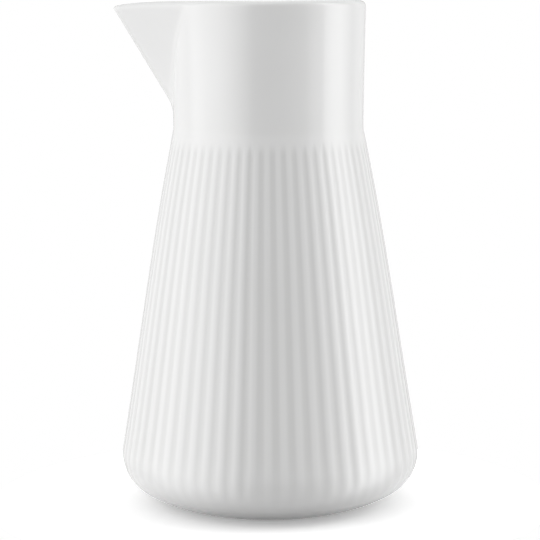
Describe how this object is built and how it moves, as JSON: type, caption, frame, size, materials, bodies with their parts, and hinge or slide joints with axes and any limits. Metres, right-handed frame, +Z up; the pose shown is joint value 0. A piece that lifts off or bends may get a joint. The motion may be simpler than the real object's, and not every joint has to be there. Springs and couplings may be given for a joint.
{
  "type": "hot milk jug with lid",
  "caption": "Handleless porcelain jug with a plain neck, a sharp V-shaped spout, a fluted conical body and a drop-in lid with a small knob below the rim.",
  "frame": {"origin": "centre of the foot ring, on the surface that the jug stands on", "axes": "+Z up along the jug's axis, -X towards the tip of the spout, +Y to the right of someone looking out along the spout"},
  "size_m": [0.0963, 0.0952, 0.16],
  "materials": {
    "body_porcelain": "smooth clear glaze over white porcelain, bare on the foot ring",
    "lid_porcelain": "smooth clear glaze over white porcelain",
    "silicone": "matt translucent white food-grade silicone",
    "insert_brass": "turned brass",
    "screw_steel": "stainless steel, lightly brushed"
  },
  "bodies": {
    "jug": {"jug_body": "body_porcelain"},
    "lid": {"lid_plate": "lid_porcelain", "lid_ring": "silicone", "lid_knob": "lid_porcelain", "knob_insert": "insert_brass", "knob_gasket": "silicone", "screw_washer": "screw_steel", "knob_screw": "screw_steel"}
  },
  "joints": [
    {"name": "lid_lift", "type": "slide", "parent": "jug", "child": "lid", "axis": [0, 0, 1], "range_m": [0, 0.07]}
  ]
}
